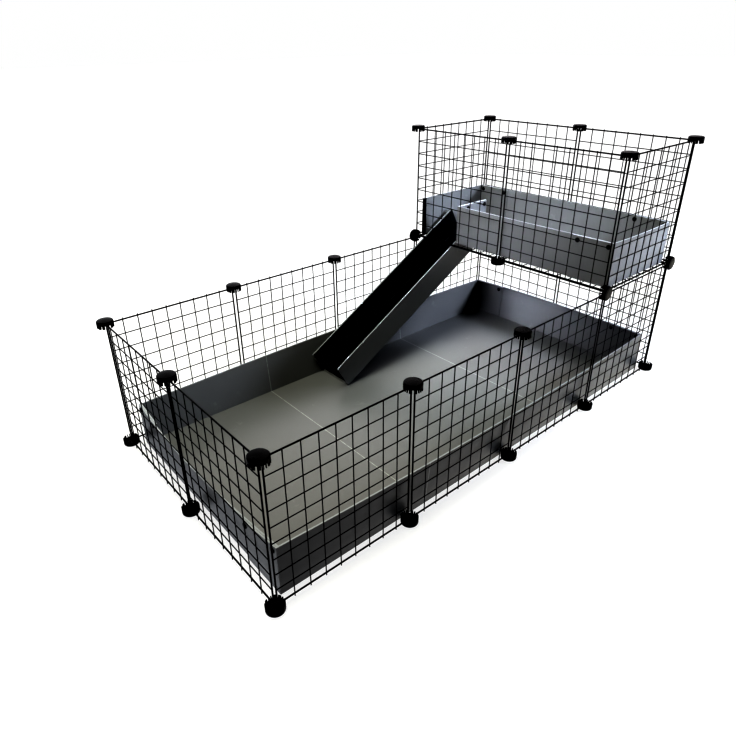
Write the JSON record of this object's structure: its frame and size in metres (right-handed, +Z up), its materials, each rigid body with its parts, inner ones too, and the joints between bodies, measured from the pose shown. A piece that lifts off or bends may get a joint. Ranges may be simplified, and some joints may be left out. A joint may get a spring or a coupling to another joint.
{
  "type": "guinea pig cage",
  "caption": "Small pet cage of square wire grid panels joined by round slotted connectors, with folded trays and a lined ramp up to an open-topped loft.",
  "frame": {"origin": "on the floor, under the middle of the ground storey", "axes": "+X along the cage towards the loft, +Y across it towards the ramp, +Z up"},
  "size_m": [1.5056, 0.7736, 0.745],
  "materials": {
    "wire": "black powder coat, satin",
    "connector": "moulded black, glossy crown",
    "tray": "charcoal sheet, satin",
    "rivet": "dark grey, satin",
    "trim": "black, satin",
    "liner": "black, matt"
  },
  "bodies": {
    "cage": {"ground_panel_near_1": "wire", "ground_panel_near_2": "wire", "ground_panel_near_3": "wire", "ground_panel_near_4": "wire", "ground_panel_far_1": "wire", "ground_panel_far_2": "wire", "ground_panel_far_3": "wire", "ground_panel_far_4": "wire", "ground_panel_end_1": "wire", "ground_panel_end_2": "wire", "ground_panel_loft_end_1": "wire", "ground_panel_loft_end_2": "wire", "loft_panel_near": "wire", "loft_panel_far": "wire", "loft_panel_front_1": "wire", "loft_panel_front_2": "wire", "loft_panel_back_1": "wire", "loft_panel_back_2": "wire", "loft_floor_panel": "wire", "loft_floor_panel_cut": "wire", "foot_connectors": "connector", "rim_connectors": "connector", "loft_side_connectors": "connector", "loft_mid_connectors": "connector", "loft_top_connectors": "connector", "ground_tray": "tray", "ground_tray_rivets": "rivet"},
    "loft_tray": {"loft_tray": "tray", "loft_tray_rivets": "rivet", "loft_tray_edge_strip": "trim"},
    "ramp": {"ramp": "tray", "ramp_liner": "liner"}
  },
  "joints": [
    {"name": "loft_tray_lift", "type": "slide", "parent": "cage", "child": "loft_tray", "axis": [0, 0, 1], "range_m": [0, 0.4]},
    {"name": "ramp_lower", "type": "hinge", "parent": "cage", "child": "ramp", "pos_m": [-0.0841, 0.26925, 0.004], "axis": [0, 1, 0], "range_deg": [0, 29.8]}
  ]
}
